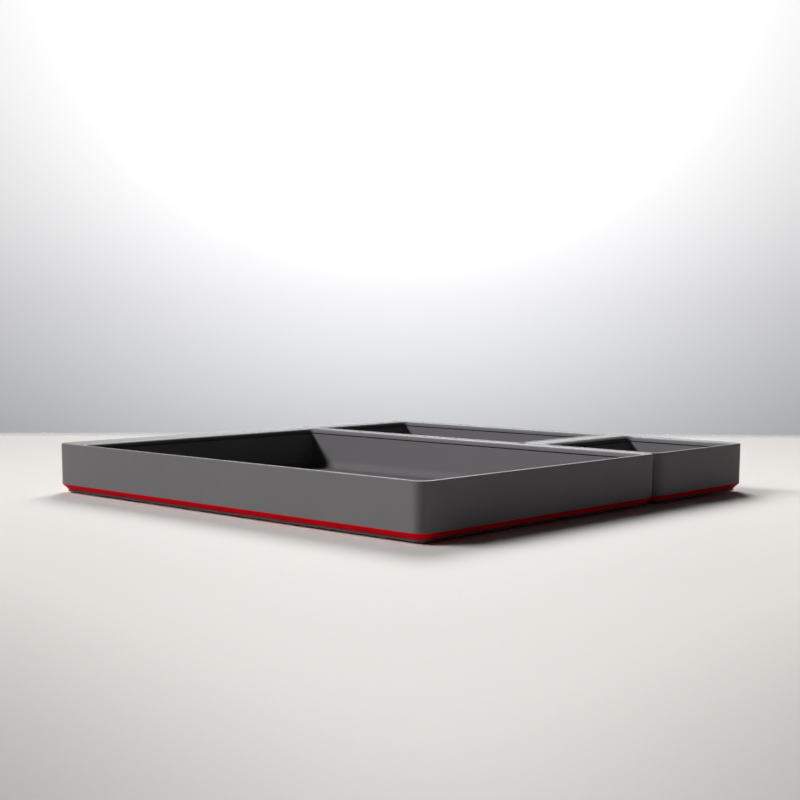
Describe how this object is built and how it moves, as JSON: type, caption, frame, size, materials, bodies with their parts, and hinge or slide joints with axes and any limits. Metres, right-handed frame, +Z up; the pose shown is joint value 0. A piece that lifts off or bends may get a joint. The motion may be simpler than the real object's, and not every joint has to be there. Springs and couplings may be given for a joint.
{
  "type": "drawer organizer",
  "caption": "Modular drawer organizer: low double-walled open trays with rounded corners and a coloured band round the foot, set edge to edge in a square; the trays lift out one by one.",
  "frame": {"origin": "middle of the square of trays, on the surface that they stand on", "axes": "+Z up, +X to the right along the front of the large tray, +Y from the front to the back"},
  "size_m": [0.2994, 0.2994, 0.03],
  "materials": {
    "shell_plastic": "satin dark grey",
    "liner_plastic": "satin dark grey",
    "band_plastic": "red, soft gloss",
    "base_plastic": "matte dark grey",
    "foot_rubber": "matte black"
  },
  "bodies": {
    "large_tray": {"large_shell": "shell_plastic", "large_liner": "liner_plastic", "large_band": "band_plastic", "large_base": "base_plastic", "large_foot_1": "foot_rubber", "large_foot_2": "foot_rubber", "large_foot_3": "foot_rubber", "large_foot_4": "foot_rubber"},
    "medium_tray": {"medium_shell": "shell_plastic", "medium_liner": "liner_plastic", "medium_band": "band_plastic", "medium_base": "base_plastic", "medium_foot_1": "foot_rubber", "medium_foot_2": "foot_rubber", "medium_foot_3": "foot_rubber", "medium_foot_4": "foot_rubber"},
    "small_tray": {"small_shell": "shell_plastic", "small_liner": "liner_plastic", "small_band": "band_plastic", "small_base": "base_plastic", "small_foot_1": "foot_rubber", "small_foot_2": "foot_rubber", "small_foot_3": "foot_rubber", "small_foot_4": "foot_rubber"}
  },
  "joints": [
    {"name": "medium_lift", "type": "slide", "parent": "large_tray", "child": "medium_tray", "axis": [0, 0, 1], "range_m": [0, 0.06]},
    {"name": "small_lift", "type": "slide", "parent": "large_tray", "child": "small_tray", "axis": [0, 0, 1], "range_m": [0, 0.06]}
  ]
}
